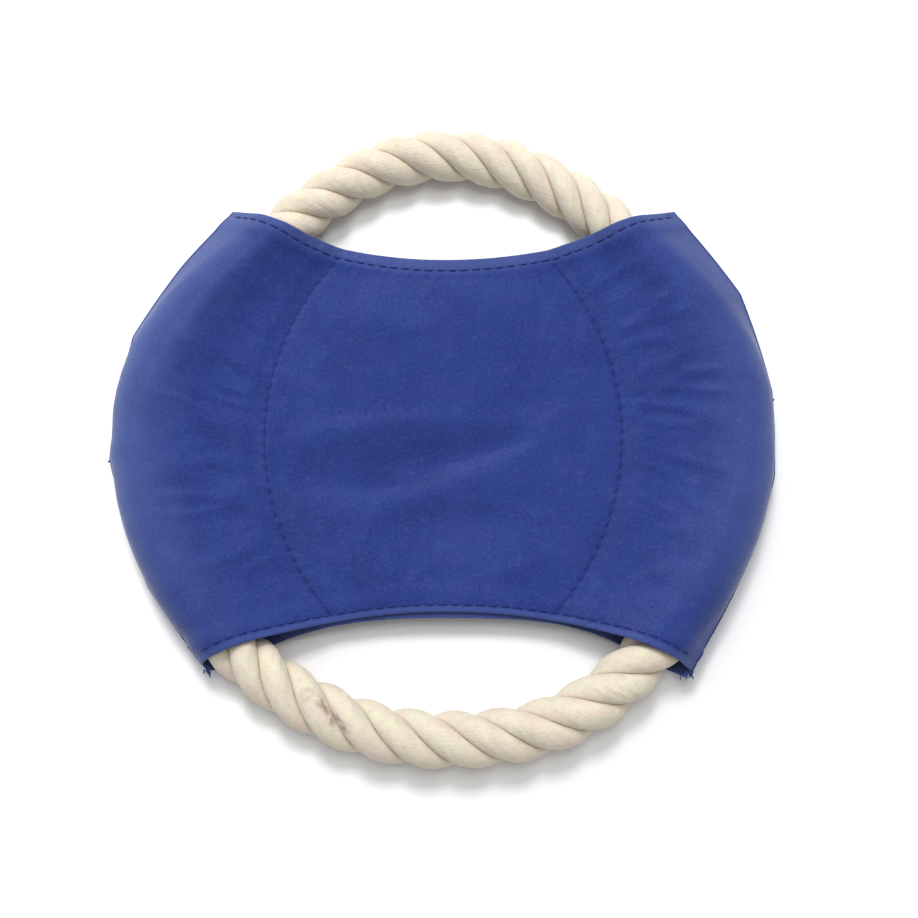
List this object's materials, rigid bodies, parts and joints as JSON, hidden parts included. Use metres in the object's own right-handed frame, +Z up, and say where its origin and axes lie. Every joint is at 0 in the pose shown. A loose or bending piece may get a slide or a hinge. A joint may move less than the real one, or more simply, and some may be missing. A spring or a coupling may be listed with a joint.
{
  "type": "rope and cloth flying ring",
  "caption": "Soft flying ring: a twisted cotton rope loop threaded through the two sleeves of a double cloth disc, bare at two opposite grips.",
  "frame": {"origin": "on the ground under the centre of the ring, which lies on its back panel", "axes": "+Z up through the front panel, +Y towards the far grip, +X towards the right sleeve"},
  "size_m": [0.1881, 0.1865, 0.0177],
  "materials": {
    "cover_cloth": "royal blue woven nylon, slightly satin",
    "cover_thread": "dark blue sewing thread",
    "rope_cotton": "undyed twisted cotton, soft and fuzzy",
    "whipping_tape": "plain woven tape, hidden",
    "joining_tube": "plain shrink tube, hidden"
  },
  "bodies": {
    "cover": {"front_panel": "cover_cloth", "back_panel": "cover_cloth", "left_sleeve_seam_thread_front": "cover_thread", "left_sleeve_seam_thread_back": "cover_thread", "right_sleeve_seam_thread_front": "cover_thread", "right_sleeve_seam_thread_back": "cover_thread", "left_outer_seam_thread": "cover_thread", "right_outer_seam_thread": "cover_thread", "far_hem_thread_front": "cover_thread", "far_hem_thread_back": "cover_thread", "near_hem_thread_front": "cover_thread", "near_hem_thread_back": "cover_thread"},
    "rope_ring": {"rope_strand_a": "rope_cotton", "rope_strand_b": "rope_cotton", "rope_strand_c": "rope_cotton", "end_whipping_a": "whipping_tape", "end_whipping_b": "whipping_tape", "joining_sleeve": "joining_tube"}
  },
  "joints": [
    {"name": "ring_turn", "type": "hinge", "parent": "cover", "child": "rope_ring", "pos_m": [0, 0, 0.0083], "axis": [0, 0, 1], "range_deg": [-6, 6]}
  ]
}
